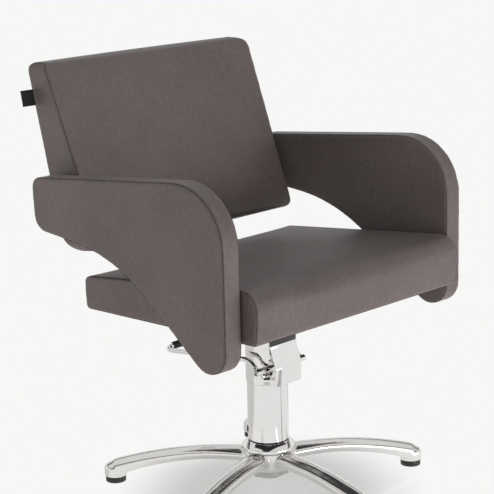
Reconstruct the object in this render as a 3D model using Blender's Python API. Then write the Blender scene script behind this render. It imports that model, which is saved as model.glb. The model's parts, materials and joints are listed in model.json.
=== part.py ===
"""Styling chair: padded seat, arms and back on a hydraulic column with a five-leg base.

Metres, +Z up. The origin is on the floor on the swivel axis. The sitter faces -Y, so +X is
the sitter's left. Run with: blender --background --python part.py
"""

import math

import bmesh
import bpy
from mathutils import Matrix, Vector

# ---------------------------------------------------------------- driving sizes

GAP = 0.0003                      # between faces that touch on the real chair
SIDES = {"right": -1.0, "left": 1.0}
FINE = 40                         # segments of a large round
COARSE = 14                       # segments of a small round

# base
LEG_COUNT = 5
LEG_START = math.radians(-94.2)   # direction of the first leg, counted from +X
FOOT_RADIUS = 0.300               # swivel axis to the centre of a glide
FOOT_R = 0.0215                   # round end of a leg
LEG_HALF_WIDTH = 0.0195
LEG_FLARE = 0.006                 # extra half width where a leg joins the hub
LEG_CREST_Z = 0.084
LEG_CREST_DROP = 0.65             # crest falls by this times the squared distance
LEG_BELLY_Z = 0.061
LEG_BELLY_DROP = 0.93
LEG_FOOT_Z = 0.0112                # level underside over the glide
GLIDE_R = 0.0195
GLIDE_HEIGHT = 0.010
SPIGOT_R = 0.005
SPIGOT_HEIGHT = 0.012
HUB_R = 0.0485
HUB_BOTTOM = 0.050
HUB_TOP = 0.086
COLLAR_R = 0.0495
COLLAR_TOP = 0.1035
COLLAR_BORE_R = 0.0362
BUSH_R = 0.030
BUSH_FLANGE_R = 0.0355
BUSH_FLANGE_TOP = HUB_TOP + GAP + 0.002
WASHER_R = 0.034
WASHER_TOP = BUSH_FLANGE_TOP + 0.002

# column
COLUMN_R = 0.025
COLUMN_BOTTOM = 0.030
COLUMN_TOP = 0.285
COLUMN_SHOULDER_R = 0.0325
COLUMN_SHOULDER_HEIGHT = 0.006
NUT_R = 0.037
NUT_Z = (0.036, 0.0485)
TUBE_R = 0.038
TUBE_WALL = 0.0035
TUBE_BOTTOM = 0.1045
WIPER_HEIGHT = 0.0135
PLUG_Z = 0.122
PLUG_ANGLE = math.radians(135.0)
PLUG_R = 0.006
HEAD_R = 0.0398
HEAD_BOTTOM = 0.207
HEAD_TOP = 0.352
SPIGOT_BOTTOM = 0.192             # foot of the head, inside the tube
FLANGE_R = 0.055
FLANGE_HEIGHT = 0.006

# pedal
SHAFT_Y = -0.033
SHAFT_Z = 0.250
SHAFT_R = 0.0063
SHAFT_SEGMENTS = 32
SHAFT_CLEARANCE = 0.0001
SHAFT_HALF = 0.064
SHAFT_END_HOLE_R = 0.0038
SHAFT_END_DEPTH = 0.011
LEVER_HALF = 0.057
LEVER_ROD_R = 0.0046
LEVER_END_Y = 0.217
LEVER_END_Z = 0.247
LEVER_CORNER_R = 0.022
LEVER_BEND = (0.0250, 0.0195)     # bend of the rod (y, z) about the shaft's axis
LEVER_WELD_ANGLE = math.radians(45.0)
SLEEVE_R = 0.0072
LINK_R = 0.0042
LINK_PATH = ((-0.0325, -0.0010, -0.0112), (-0.0390, 0.0005, -0.0140), (-0.0465, 0.0015, -0.0185))
BOSS_HALF = 0.028
BOSS_FRONT = -0.0465
BOSS_REAR = -0.030
BOSS_HALF_HEIGHT = 0.016
SLOT_ANGLE = math.radians(-137.0)
SLOT_WIDTH = 0.013
SLOT_Z = (0.2180, 0.2365)
SLOT_DEPTH = 0.009
PLUNGER_HEIGHT = 0.0095
COVER_HALF = 0.034
COVER_THICK = 0.003
COVER_LINE = ((-0.0435, 0.290), (-0.0555, 0.253), (-0.0540, 0.2195))

# seat
SEAT_HALF = 0.2655
SEAT_BOTTOM_Z = 0.3788            # underside on the swivel axis
SEAT_BOTTOM_SLOPE = -0.0213       # rise of the underside per metre towards the back
SEAT_CORNERS = (
    (0.1940, 0.4355, 0.006),
    (-0.2370, 0.4780, 0.034),
    (-0.2365, 0.4250, 0.0),
    (-0.2323, SEAT_BOTTOM_Z - 0.2323 * SEAT_BOTTOM_SLOPE, 0.004),
    (0.1920, SEAT_BOTTOM_Z + 0.1920 * SEAT_BOTTOM_SLOPE, 0.004),
)
FRAME_HALF = 0.2560
FRAME_FRONT = -0.222
FRAME_BACK = 0.183
RAIL_WIDTH = 0.020
RAIL_HEIGHT = 0.058
BOARD_THICK = 0.012
LINER_THICK = 0.0012
LINER_MARGIN = 0.002              # liner past the edge of the frame
PLATE_HALF = 0.120
PLATE_THICK = 0.006
BEARER_X = 0.085
BEARER_HALF = 0.016
BEARER_LENGTH_HALF = 0.112
PLATE_BOLT_Y = 0.095
PLATE_BOLT_R = 0.004
PLATE_BOLT_HEAD_R = 0.0065
PLATE_BOLT_LENGTH = 0.020

# arms
ARM_INNER = 0.2670
ARM_OUTER = 0.3099
ARM_RIM = 0.010                   # thickness of the upholstered edge band
ARM_INNER_PAD = 0.008
ARM_BOARD_OUTER = 0.2967
ARM_CORNERS = (
    (0.2770, 0.6113, 0.020),
    (-0.2065, 0.6566, 0.105),
    (-0.2065, 0.2885, 0.042),
    (0.0560, 0.4960, 0.360),
    (0.2720, 0.5170, 0.030),
)
ARM_BOLTS = {"front": (-0.165, 0.405), "rear": (-0.085, 0.428)}
ARM_BOLT_R = 0.004
ARM_BOLT_HEAD_R = 0.0065
ARM_BOLT_HEAD = 0.005
ARM_BOLT_END = 0.2950

# back
BACK_HALF = 0.2535                # half width at BACK_HALF_Z
BACK_HALF_Z = 0.600
BACK_TAPER = 0.0272               # gain of half width per metre of height
BACK_PAD = 0.012
BACK_TOP = 0.8055
BACK_FOOT = 0.4633
BACK_CORNERS = ((0.2870, BACK_TOP), (0.1595, 0.4810), (0.2610, BACK_FOOT), (0.3345, BACK_TOP))
BACK_RADII = (0.010, 0.010, 0.028, 0.014)
TAG_Z = 0.744
TAG_HALF = 0.0145
TAG_REACH = 0.028
TAG_THICK = 0.0012
TAG_SETBACK = 0.004               # in front of the rear face
BACK_PINS = {"lower": (0.222, 0.542), "upper": (0.238, 0.588)}
PIN_R = 0.005
PIN_COLLAR_R = 0.011
PIN_START = BACK_HALF - 0.031
PIN_END = 0.2930

# ---------------------------------------------------------------- colours

FINISHES = {
    "polished_aluminium": ((0.82, 0.80, 0.78), 0.12, 1.0),
    "chrome": ((0.86, 0.86, 0.87), 0.05, 1.0),
    "steel": ((0.55, 0.55, 0.56), 0.30, 1.0),
    "black_plastic": ((0.012, 0.012, 0.013), 0.45, 0.0),
    "black_rubber": ((0.010, 0.010, 0.010), 0.70, 0.0),
    "black_paint": ((0.020, 0.020, 0.022), 0.40, 0.0),
    "white_nylon": ((0.75, 0.74, 0.70), 0.50, 0.0),
    "birch_ply": ((0.55, 0.40, 0.24), 0.60, 0.0),
    "taupe_vinyl": ((0.120, 0.097, 0.093), 0.50, 0.0),
    "black_cloth": ((0.015, 0.015, 0.016), 0.90, 0.0),
}


def finish(name):
    """Return the named material, made on first use."""
    found = bpy.data.materials.get(name)
    if found:
        return found
    colour, roughness, metallic = FINISHES[name]
    made = bpy.data.materials.new(name)
    made.use_nodes = True
    shader = made.node_tree.nodes["Principled BSDF"]
    shader.inputs["Base Color"].default_value = (*colour, 1.0)
    shader.inputs["Roughness"].default_value = roughness
    shader.inputs["Metallic"].default_value = metallic
    return made


# ---------------------------------------------------------------- outlines

def rounded(corners, steps=8):
    """Return an outline whose corners (a, b, radius) are replaced by arcs."""
    outline = []
    count = len(corners)
    for index, (a, b, radius) in enumerate(corners):
        corner = Vector((a, b))
        if radius == 0:
            outline.append(corner)
            continue
        before = (Vector(corners[index - 1][:2]) - corner).normalized()
        after = (Vector(corners[(index + 1) % count][:2]) - corner).normalized()
        half = before.angle(after) / 2
        centre = corner + (before + after).normalized() * (radius / math.sin(half))
        first = corner + before * (radius / math.tan(half)) - centre
        last = corner + after * (radius / math.tan(half)) - centre
        turn = first.angle_signed(last)
        for step in range(steps + 1):
            arm = first.copy()
            arm.rotate(Matrix.Rotation(-turn * step / steps, 2))
            outline.append(centre + arm)
    return outline


def area(outline):
    """Return the signed area of an outline, positive when it runs counter-clockwise."""
    pairs = zip(outline, outline[1:] + outline[:1])
    return sum(p.x * q.y - q.x * p.y for p, q in pairs) / 2


def inset(outline, distance):
    """Return the outline moved inwards by a distance, with mitred corners."""
    sign = math.copysign(1.0, area(outline))
    shifted = []
    for index, point in enumerate(outline):
        into = (point - outline[index - 1]).normalized()
        out = (outline[(index + 1) % len(outline)] - point).normalized()
        normal_in = Vector((-into.y, into.x)) * sign
        normal_out = Vector((-out.y, out.x)) * sign
        mitre = (normal_in + normal_out).normalized()
        shifted.append(point + mitre * (distance / mitre.dot(normal_in)))
    return shifted


def arm_outline():
    """Return the arm's side view (y, z): a round front that sweeps down past the seat."""
    return rounded(ARM_CORNERS, steps=7)


def back_corners(margin):
    """Return the corners (y, z) of the back's side view, moved in by a margin."""
    return inset([Vector(corner) for corner in BACK_CORNERS], margin)


def back_outline():
    """Return the back's side view (y, z): a wedge that is thicker at its foot."""
    return rounded([(*corner, radius) for corner, radius in zip(BACK_CORNERS, BACK_RADII)], steps=5)


def back_front_view(half):
    """Return the back's front view (x, z) with round corners, for a half width at mid height."""
    top = half + BACK_TAPER * (BACK_TOP - BACK_HALF_Z)
    foot = half + BACK_TAPER * (BACK_FOOT - BACK_HALF_Z)
    return rounded([
        (top, BACK_TOP, 0.020),
        (-top, BACK_TOP, 0.020),
        (-foot, BACK_FOOT, 0.035),
        (foot, BACK_FOOT, 0.035),
    ], steps=5)


def seat_outline():
    """Return the seat cushion's side view (y, z): a wedge with a soft front edge."""
    return rounded(SEAT_CORNERS, steps=7)


def frame_section(gap):
    """Return the seat frame's cross-section (x, z over its underside): a tray with side rails."""
    half = FRAME_HALF + gap
    inner = FRAME_HALF - RAIL_WIDTH - gap
    top = RAIL_HEIGHT + gap
    floor = BOARD_THICK + gap
    corners = [(-half, -gap), (half, -gap), (half, top), (inner, top),
               (inner, floor), (-inner, floor), (-inner, top), (-half, top)]
    return [Vector(corner) for corner in corners]


def rectangle(half_x, half_y, radius):
    """Return a rounded rectangle centred on the swivel axis."""
    return rounded([
        (half_x, half_y, radius),
        (-half_x, half_y, radius),
        (-half_x, -half_y, radius),
        (half_x, -half_y, radius),
    ], steps=5)


# ---------------------------------------------------------------- solids

AXIS_PLACES = {
    "X": lambda a, b, along: (along, a, b),
    "Y": lambda a, b, along: (a, along, b),
    "Z": lambda a, b, along: (a, b, along),
}


def prism(outline, axis, start, end):
    """Return a bmesh of an outline carried along an axis from start to end."""
    solid = bmesh.new()
    place = AXIS_PLACES[axis]
    ring = [solid.verts.new(place(p[0], p[1], start)) for p in outline]
    face = solid.faces.new(ring)
    grown = bmesh.ops.extrude_face_region(solid, geom=[face])
    far_end = [item for item in grown["geom"] if isinstance(item, bmesh.types.BMVert)]
    bmesh.ops.translate(solid, verts=far_end, vec=Vector(place(0.0, 0.0, end - start)))
    bmesh.ops.recalc_face_normals(solid, faces=solid.faces)
    return solid


def turned(profile, segments=FINE):
    """Return a bmesh of a closed profile (radius, z) turned about the Z axis."""
    solid = bmesh.new()
    ring = [solid.verts.new((r, 0.0, z)) for r, z in profile]
    edges = [solid.edges.new(pair) for pair in zip(ring, ring[1:] + ring[:1])]
    bmesh.ops.spin(solid, geom=ring + edges, cent=(0, 0, 0), axis=(0, 0, 1),
                   angle=math.tau, steps=segments, use_merge=True)
    bmesh.ops.remove_doubles(solid, verts=solid.verts, dist=1e-5)
    on_axis = [edge for edge in solid.edges if not edge.link_faces]
    bmesh.ops.delete(solid, geom=on_axis, context="EDGES")
    bmesh.ops.recalc_face_normals(solid, faces=solid.faces)
    return solid


def ring_profile(inner, outer, bottom, top):
    """Return the closed profile of a plain ring."""
    return [(inner, bottom), (outer, bottom), (outer, top), (inner, top)]


def cylinder(radius, bottom, top, segments=FINE):
    """Return a bmesh of a cylinder about the Z axis."""
    return turned([(0.0, bottom), (radius, bottom), (radius, top), (0.0, top)], segments)


def rod(radius, length, segments=COARSE):
    """Return a bmesh of a cylinder along +X that starts at the origin."""
    solid = bmesh.new()
    bmesh.ops.create_cone(solid, cap_ends=True, segments=segments, radius1=radius,
                          radius2=radius, depth=length)
    turn = Matrix.Rotation(math.pi / 2, 4, "Y")
    bmesh.ops.transform(solid, matrix=Matrix.Translation((length / 2, 0, 0)) @ turn,
                        verts=solid.verts)
    return solid


def stepped_rod(steps, segments=COARSE):
    """Return a bmesh of a round bar along +X from (start, end, radius) steps."""
    profile = [(0.0, steps[0][0])]
    for start, end, radius in steps:
        profile += [(radius, start), (radius, end)]
    profile.append((0.0, steps[-1][1]))
    solid = turned(profile, segments)
    bmesh.ops.transform(solid, matrix=Matrix.Rotation(math.pi / 2, 4, "Y"), verts=solid.verts)
    return solid


def joined(solids):
    """Return one bmesh that holds several separate ones."""
    whole = bmesh.new()
    for solid in solids:
        scratch = bpy.data.meshes.new("scratch")
        solid.to_mesh(scratch)
        solid.free()
        whole.from_mesh(scratch)
        bpy.data.meshes.remove(scratch)
    return whole


def moved(solid, offset):
    """Return the bmesh moved by an offset."""
    bmesh.ops.translate(solid, verts=solid.verts, vec=Vector(offset))
    return solid


def sloped(solid):
    """Return the bmesh sheared to the slope of the seat's underside and lifted to it."""
    for vert in solid.verts:
        vert.co.z += SEAT_BOTTOM_Z + SEAT_BOTTOM_SLOPE * vert.co.y
    return solid


# ---------------------------------------------------------------- objects

def piece(name, solid, material, place=(0, 0, 0), turn=0.0, parent=None, smooth=35.0):
    """Make the named object from a bmesh modelled about its own origin."""
    mesh = bpy.data.meshes.new(name)
    solid.to_mesh(mesh)
    solid.free()
    mesh.materials.append(finish(material))
    mesh.shade_smooth()
    mesh.set_sharp_from_angle(angle=math.radians(smooth))
    made = bpy.data.objects.new(name, mesh)
    bpy.context.scene.collection.objects.link(made)
    made.location = place
    made.rotation_euler.z = turn
    made.parent = parent
    return made


def cutter(name, solid, parent=None):
    """Make a hidden object that other pieces are cut with."""
    made = piece(name, solid, "steel", parent=parent)
    made.hide_render = True
    made.display_type = "WIRE"
    return made


def combine(target, tool, operation="DIFFERENCE"):
    """Add an exact Boolean with the tool to the target."""
    change = target.modifiers.new(f"{operation.lower()}_{tool.name}", "BOOLEAN")
    change.operation = operation
    change.object = tool
    change.solver = "EXACT"


def empty(name, place, parent=None):
    """Make an empty that carries a moving group, with its origin on the joint."""
    made = bpy.data.objects.new(name, None)
    bpy.context.scene.collection.objects.link(made)
    made.location = place
    made.parent = parent
    return made


# ---------------------------------------------------------------- base

def leg_crest(radius):
    """Return the height of a leg's crest at a distance from the swivel axis."""
    return LEG_CREST_Z - LEG_CREST_DROP * (radius - 0.05) ** 2


def leg_belly(radius):
    """Return the height of a leg's underside at a distance from the swivel axis."""
    return max(LEG_BELLY_Z - LEG_BELLY_DROP * max(radius - 0.07, 0.0) ** 2, LEG_FOOT_Z)


def leg_section(radius):
    """Return a leg's cross-section (y, z): flat belly, upright flanks and a domed crest."""
    flare = LEG_FLARE * max(0.0, 1.0 - (radius - 0.03) / 0.09)
    half = LEG_HALF_WIDTH + flare
    past = radius - FOOT_RADIUS
    if past > 0:
        half = max(half * math.sqrt(max(0.0, 1.0 - (past / FOOT_R) ** 2)), 0.003)
    crest = leg_crest(radius) - 0.25 * max(past, 0.0)
    belly = leg_belly(radius)
    shoulder = belly + 0.42 * (crest - belly)
    dome = [(half * math.cos(a), shoulder + (crest - shoulder) * math.sin(a))
            for a in [math.pi * step / 8 for step in range(9)]]
    return [(-half * 0.86, belly), (half * 0.86, belly), (half, belly + 0.003)] + dome + [
        (-half, belly + 0.003)]


def leg_solid():
    """Return a bmesh of one leg along +X, from inside the hub to its round tip."""
    stations = [0.034, 0.050, 0.075, 0.105, 0.140, 0.175, 0.210, 0.245, 0.275, 0.300,
                0.306, 0.312, 0.317, 0.3205]
    solid = bmesh.new()
    rings = []
    for radius in stations:
        rings.append([solid.verts.new((radius, y, z)) for y, z in leg_section(radius)])
    for near, far in zip(rings, rings[1:]):
        for index in range(len(near)):
            after = (index + 1) % len(near)
            solid.faces.new((near[index], near[after], far[after], far[index]))
    solid.faces.new(rings[0])
    solid.faces.new(rings[-1])
    bmesh.ops.recalc_face_normals(solid, faces=solid.faces)
    return solid


def leg_angles():
    """Return the direction of each leg."""
    return [LEG_START + math.tau * index / LEG_COUNT for index in range(LEG_COUNT)]


def build_base(parent):
    """Build the star casting with its glides, collar, bush and washer."""
    star = piece("base_star", turned([(0.0, HUB_BOTTOM), (HUB_R - 0.003, HUB_BOTTOM),
                                      (HUB_R, HUB_BOTTOM + 0.003), (HUB_R, HUB_TOP),
                                      (0.0, HUB_TOP)]),
                 "polished_aluminium", parent=parent, smooth=40.0)
    foot_bottom = GLIDE_HEIGHT + GAP
    foot_top = leg_crest(FOOT_RADIUS) - 0.006
    for number, angle in enumerate(leg_angles(), start=1):
        leg = cutter(f"leg_{number}", leg_solid(), parent)
        leg.rotation_euler.z = angle
        combine(star, leg, "UNION")
        foot = cutter(f"foot_{number}", turned([
            (0.0, foot_bottom), (FOOT_R - 0.001, foot_bottom), (FOOT_R, foot_bottom + 0.001),
            (FOOT_R, foot_top - 0.012), (FOOT_R - 0.003, foot_top - 0.005), (0.010, foot_top),
            (0.0, foot_top)], 24), parent)
        foot.location = (FOOT_RADIUS * math.cos(angle), FOOT_RADIUS * math.sin(angle), 0)
        combine(star, foot, "UNION")
    bore = cylinder(BUSH_R + GAP, HUB_BOTTOM - 0.002, HUB_TOP + 0.002)
    combine(star, cutter("hub_bore", bore, parent))
    build_glides(star, parent)
    build_hub_fittings(parent)


def build_glides(star, parent):
    """Build the five glides, each with a spigot up into its leg."""
    sockets = []
    for number, angle in enumerate(leg_angles(), start=1):
        place = (FOOT_RADIUS * math.cos(angle), FOOT_RADIUS * math.sin(angle), 0)
        top = GLIDE_HEIGHT + SPIGOT_HEIGHT
        profile = [(0.0, 0.0), (GLIDE_R - 0.001, 0.0), (GLIDE_R, 0.001), (GLIDE_R, GLIDE_HEIGHT),
                   (SPIGOT_R, GLIDE_HEIGHT), (SPIGOT_R, top), (0.0, top)]
        piece(f"glide_{number}", turned(profile, 20), "black_plastic", place, parent=parent)
        sockets.append(moved(cylinder(SPIGOT_R + GAP, 0.0, top + 0.0005, COARSE), place))
    combine(star, cutter("glide_sockets", joined(sockets), parent))


def build_hub_fittings(parent):
    """Build the nylon bush in the hub and the chrome collar on top of it."""
    inner = COLUMN_R + GAP
    bottom = HUB_TOP + GAP
    piece("swivel_bush", turned([
        (inner, HUB_BOTTOM + GAP), (BUSH_R, HUB_BOTTOM + GAP), (BUSH_R, bottom),
        (BUSH_FLANGE_R, bottom), (BUSH_FLANGE_R, BUSH_FLANGE_TOP), (inner, BUSH_FLANGE_TOP)]),
        "white_nylon", parent=parent)
    piece("thrust_washer", turned(ring_profile(inner, WASHER_R, BUSH_FLANGE_TOP + GAP, WASHER_TOP)),
          "steel", parent=parent)
    shoulder_r = 0.0105
    shoulder_height = 0.0125
    angles = [math.pi / 2 * step / 4 for step in range(5)]
    shoulder = [(COLLAR_R - shoulder_r + shoulder_r * math.cos(a),
                 COLLAR_TOP - shoulder_height + shoulder_height * math.sin(a)) for a in angles]
    piece("hub_collar", turned([(COLLAR_BORE_R, bottom), (COLLAR_R, bottom)] + shoulder +
                               [(COLLAR_BORE_R, COLLAR_TOP)]), "chrome", parent=parent)


# ---------------------------------------------------------------- column

def build_column(parent):
    """Build the steel column that turns in the hub, and the nut that keeps it there."""
    low = WASHER_TOP + GAP
    high = low + COLUMN_SHOULDER_HEIGHT
    chamfer = 0.002
    piece("inner_column", turned([
        (0.0, COLUMN_BOTTOM), (COLUMN_R - chamfer, COLUMN_BOTTOM), (COLUMN_R, COLUMN_BOTTOM + chamfer),
        (COLUMN_R, low), (COLUMN_SHOULDER_R, low), (COLUMN_SHOULDER_R, high), (COLUMN_R, high + 0.003),
        (COLUMN_R, COLUMN_TOP - chamfer), (COLUMN_R - chamfer, COLUMN_TOP), (0.0, COLUMN_TOP)]),
        "chrome", parent=parent)
    nut = piece("column_nut", turned([(0.0, NUT_Z[0]), (NUT_R, NUT_Z[0]), (NUT_R, NUT_Z[1]),
                                      (0.0, NUT_Z[1])], 6), "steel", parent=parent, smooth=20.0)
    bore = cylinder(COLUMN_R + GAP, NUT_Z[0] - 0.002, NUT_Z[1] + 0.002)
    combine(nut, cutter("nut_bore", bore, parent))


def build_tube(parent):
    """Build the outer tube with its wiper ring and side plug."""
    piece("outer_tube", turned(ring_profile(TUBE_R - TUBE_WALL, TUBE_R, TUBE_BOTTOM, HEAD_BOTTOM - GAP)),
          "chrome", parent=parent)
    wiper_bottom = TUBE_BOTTOM + 0.0005
    piece("tube_wiper", turned(ring_profile(COLUMN_R + GAP, TUBE_R - TUBE_WALL - GAP,
                                            wiper_bottom, wiper_bottom + WIPER_HEIGHT)),
          "black_rubber", parent=parent)
    face = TUBE_R + 0.0035
    button = stepped_rod([(TUBE_R - 0.004, face, PLUG_R), (face, face + 0.001, PLUG_R - 0.001)])
    plug = piece("column_plug", moved(button, (0, 0, PLUG_Z)), "black_plastic", turn=PLUG_ANGLE,
                 parent=parent)
    tube = cylinder(TUBE_R + GAP, PLUG_Z - 0.02, PLUG_Z + 0.02)
    combine(plug, cutter("plug_seat", tube, parent))


def build_head(parent):
    """Build the pump head: body, shaft boss, flange, and the slot its plunger works in."""
    bore_r = COLUMN_R + 2 * GAP
    bore_top = COLUMN_TOP + 0.008
    spigot_r = TUBE_R - TUBE_WALL - GAP
    flange_bottom = HEAD_TOP - FLANGE_HEIGHT
    head = piece("pump_head", turned([
        (bore_r, SPIGOT_BOTTOM), (spigot_r, SPIGOT_BOTTOM), (spigot_r, HEAD_BOTTOM),
        (HEAD_R, HEAD_BOTTOM), (HEAD_R, flange_bottom), (FLANGE_R, flange_bottom),
        (FLANGE_R, HEAD_TOP), (0.0, HEAD_TOP), (0.0, bore_top), (bore_r, bore_top)]),
        "chrome", parent=parent, smooth=30.0)
    boss = cutter("shaft_boss", prism(rounded([
        (BOSS_FRONT, SHAFT_Z - BOSS_HALF_HEIGHT, 0.006), (BOSS_REAR, SHAFT_Z - BOSS_HALF_HEIGHT, 0.0),
        (BOSS_REAR, SHAFT_Z + BOSS_HALF_HEIGHT, 0.0), (BOSS_FRONT, SHAFT_Z + BOSS_HALF_HEIGHT, 0.010)], 4),
        "X", -BOSS_HALF, BOSS_HALF), parent)
    combine(head, boss, "UNION")
    cross_half = 0.1
    cross = rod(SHAFT_R + SHAFT_CLEARANCE, 2 * cross_half, SHAFT_SEGMENTS)
    combine(head, cutter("shaft_bore", moved(cross, (-cross_half, SHAFT_Y, SHAFT_Z)), parent))
    half = SLOT_WIDTH / 2
    slot = cutter("plunger_slot", prism(rounded([
        (half, SLOT_Z[0], 0.002), (half, SLOT_Z[1], 0.002), (-half, SLOT_Z[1], 0.002),
        (-half, SLOT_Z[0], 0.002)], 3), "Y", -HEAD_R - 0.005, -HEAD_R + SLOT_DEPTH), parent)
    slot.rotation_euler.z = SLOT_ANGLE + math.pi / 2
    combine(head, slot)


def build_plunger(parent):
    """Build the plunger that the pedal pushes down in the head's slot."""
    half = SLOT_WIDTH / 2 - GAP
    top = SLOT_Z[1] - GAP
    piece("pump_plunger", prism(rounded([
        (half, top - PLUNGER_HEIGHT, 0.0015), (half, top, 0.0017), (-half, top, 0.0017),
        (-half, top - PLUNGER_HEIGHT, 0.0015)], 3), "Y", -HEAD_R + 0.0015, -HEAD_R + SLOT_DEPTH - GAP),
        "black_plastic", turn=SLOT_ANGLE + math.pi / 2, parent=parent)


def build_cover(parent):
    """Build the bent plate that screens the front of the pump head."""
    outer = [Vector((COVER_LINE[0][0], HEAD_TOP - FLANGE_HEIGHT - GAP))]
    outer += [Vector(corner) for corner in COVER_LINE]
    inner = [Vector((point.x + COVER_THICK, point.y)) for point in reversed(outer)]
    plate = piece("front_cover", prism(outer + inner, "X", -COVER_HALF, COVER_HALF), "chrome",
                  parent=parent, smooth=10.0)
    edge = plate.modifiers.new("broken_edges", "BEVEL")
    edge.width = 0.0006
    edge.segments = 2


# ---------------------------------------------------------------- pedal

def lever_path():
    """Return the pedal rod's centre line, about the shaft, from the right end round to the left."""
    lift = SHAFT_R + LEVER_ROD_R + GAP
    start = Vector((-LEVER_HALF, lift * math.cos(LEVER_WELD_ANGLE), lift * math.sin(LEVER_WELD_ANGLE)))
    bend = Vector((-LEVER_HALF, *LEVER_BEND))
    rear = Vector((-LEVER_HALF, LEVER_END_Y - SHAFT_Y - LEVER_CORNER_R, LEVER_END_Z - SHAFT_Z))
    knee = [bend.lerp(start, 0.45), bend.lerp(start, 0.20), bend + Vector((0, 0.004, 0.0004)),
            bend.lerp(rear, 0.06)]
    centre = rear + Vector((LEVER_CORNER_R, 0, 0))
    corner = [centre + LEVER_CORNER_R * Vector((-math.cos(a), math.sin(a), 0))
              for a in [math.pi / 2 * step / 7 for step in range(8)]]
    right = [start] + knee + [bend.lerp(rear, 0.5)] + corner
    left = [Vector((-point.x, point.y, point.z)) for point in reversed(right)]
    return right + left


def swept(name, path, radius, material, parent):
    """Make a round bar along a path, as a curve with filled ends."""
    curve = bpy.data.curves.new(name, "CURVE")
    curve.dimensions = "3D"
    curve.bevel_depth = radius
    curve.bevel_resolution = 3
    curve.use_fill_caps = True
    spline = curve.splines.new("POLY")
    spline.points.add(len(path) - 1)
    for point, place in zip(spline.points, path):
        point.co = (*place, 1.0)
    curve.materials.append(finish(material))
    made = bpy.data.objects.new(name, curve)
    bpy.context.scene.collection.objects.link(made)
    made.parent = parent
    return made


def build_pedal(parent):
    """Build the shaft, the U-shaped rod, its rubber sleeve and the link, about the shaft's axis."""
    shaft = piece("pivot_shaft", moved(rod(SHAFT_R, 2 * SHAFT_HALF, SHAFT_SEGMENTS), (-SHAFT_HALF, 0, 0)),
                  "chrome", parent=parent)
    ends = [moved(rod(SHAFT_END_HOLE_R, SHAFT_END_DEPTH + 0.001), (start, 0, 0))
            for start in (-SHAFT_HALF - 0.001, SHAFT_HALF - SHAFT_END_DEPTH)]
    combine(shaft, cutter("shaft_ends", joined(ends), parent))
    swept("pedal_lever", lever_path(), LEVER_ROD_R, "chrome", parent)
    half = LEVER_HALF - LEVER_CORNER_R - 0.002
    sleeve = turned(ring_profile(LEVER_ROD_R + GAP, SLEEVE_R, -half, half), COARSE)
    bmesh.ops.transform(sleeve, matrix=Matrix.Rotation(math.pi / 2, 4, "Y"), verts=sleeve.verts)
    piece("pedal_sleeve", sleeve, "black_rubber", (0, LEVER_END_Y - SHAFT_Y, LEVER_END_Z - SHAFT_Z),
          parent=parent)
    swept("pump_link", [Vector(point) for point in LINK_PATH], LINK_R, "chrome", parent)


# ---------------------------------------------------------------- seat

def bearer_solid(plate_top):
    """Return a bmesh of a bearer: level underneath and sloped like the seat on top."""
    middle = (plate_top + SEAT_BOTTOM_Z) / 2
    solid = prism(rectangle(BEARER_HALF, BEARER_LENGTH_HALF, 0.003), "Z", plate_top + GAP, SEAT_BOTTOM_Z)
    for vert in solid.verts:
        if vert.co.z > middle:
            vert.co.z += SEAT_BOTTOM_SLOPE * vert.co.y - LINER_THICK - 2 * GAP
    return solid


def build_mounting(parent):
    """Build the plate on the head, the two bearers on it and the four bolts through both."""
    plate_bottom = HEAD_TOP + GAP
    plate_top = plate_bottom + PLATE_THICK
    bolt_places = {f"{side}_{end}": (sign * BEARER_X, y) for side, sign in SIDES.items()
                   for end, y in (("front", -PLATE_BOLT_Y), ("rear", PLATE_BOLT_Y))}
    bolt_top = plate_bottom + PLATE_BOLT_LENGTH
    drills = [moved(cylinder(PLATE_BOLT_R + GAP, plate_bottom - 0.01, bolt_top + GAP, COARSE), (*place, 0))
              for place in bolt_places.values()]
    drill = cutter("plate_holes", joined(drills), parent)
    plate = piece("seat_plate", prism(rectangle(PLATE_HALF, PLATE_HALF, 0.012), "Z", plate_bottom,
                                      plate_top), "black_paint", parent=parent)
    combine(plate, drill)
    for side, sign in SIDES.items():
        block = moved(bearer_solid(plate_top), (sign * BEARER_X, 0, 0))
        combine(piece(f"seat_bearer_{side}", block, "black_paint", parent=parent), drill)
    head_bottom = -0.0055
    for name, place in bolt_places.items():
        bolt = turned([(0.0, head_bottom), (PLATE_BOLT_HEAD_R - 0.001, head_bottom),
                       (PLATE_BOLT_HEAD_R, head_bottom + 0.001), (PLATE_BOLT_HEAD_R, -GAP),
                       (PLATE_BOLT_R, -GAP), (PLATE_BOLT_R, PLATE_BOLT_LENGTH),
                       (0.0, PLATE_BOLT_LENGTH)], COARSE)
        piece(f"plate_bolt_{name}", bolt, "steel", (*place, plate_bottom), parent=parent)


def build_seat(holes, parent):
    """Build the seat's frame, liner and cushion."""
    frame = piece("seat_frame", sloped(prism(frame_section(0.0), "Y", FRAME_FRONT, FRAME_BACK)),
                  "birch_ply", parent=parent)
    combine(frame, holes["arm_bolts"])
    combine(frame, holes["arm_bolt_heads"])
    half = FRAME_HALF + LINER_MARGIN
    sheet = [Vector(corner) for corner in ((-half, -LINER_THICK - GAP), (half, -LINER_THICK - GAP),
                                           (half, -GAP), (-half, -GAP))]
    liner = sloped(prism(sheet, "Y", FRAME_FRONT - LINER_MARGIN, FRAME_BACK + LINER_MARGIN))
    piece("seat_liner", liner, "black_cloth", parent=parent)
    cushion = piece("seat_cushion", prism(seat_outline(), "X", -SEAT_HALF, SEAT_HALF), "taupe_vinyl",
                    parent=parent)
    pocket = [Vector((p.x, p.y if p.y > 0 else -0.006)) for p in frame_section(GAP)]
    combine(cushion, cutter("frame_pocket", sloped(prism(pocket, "Y", FRAME_FRONT - GAP,
                                                         FRAME_BACK + GAP)), parent))
    combine(cushion, holes["arm_bolts"])


# ---------------------------------------------------------------- arms

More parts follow.
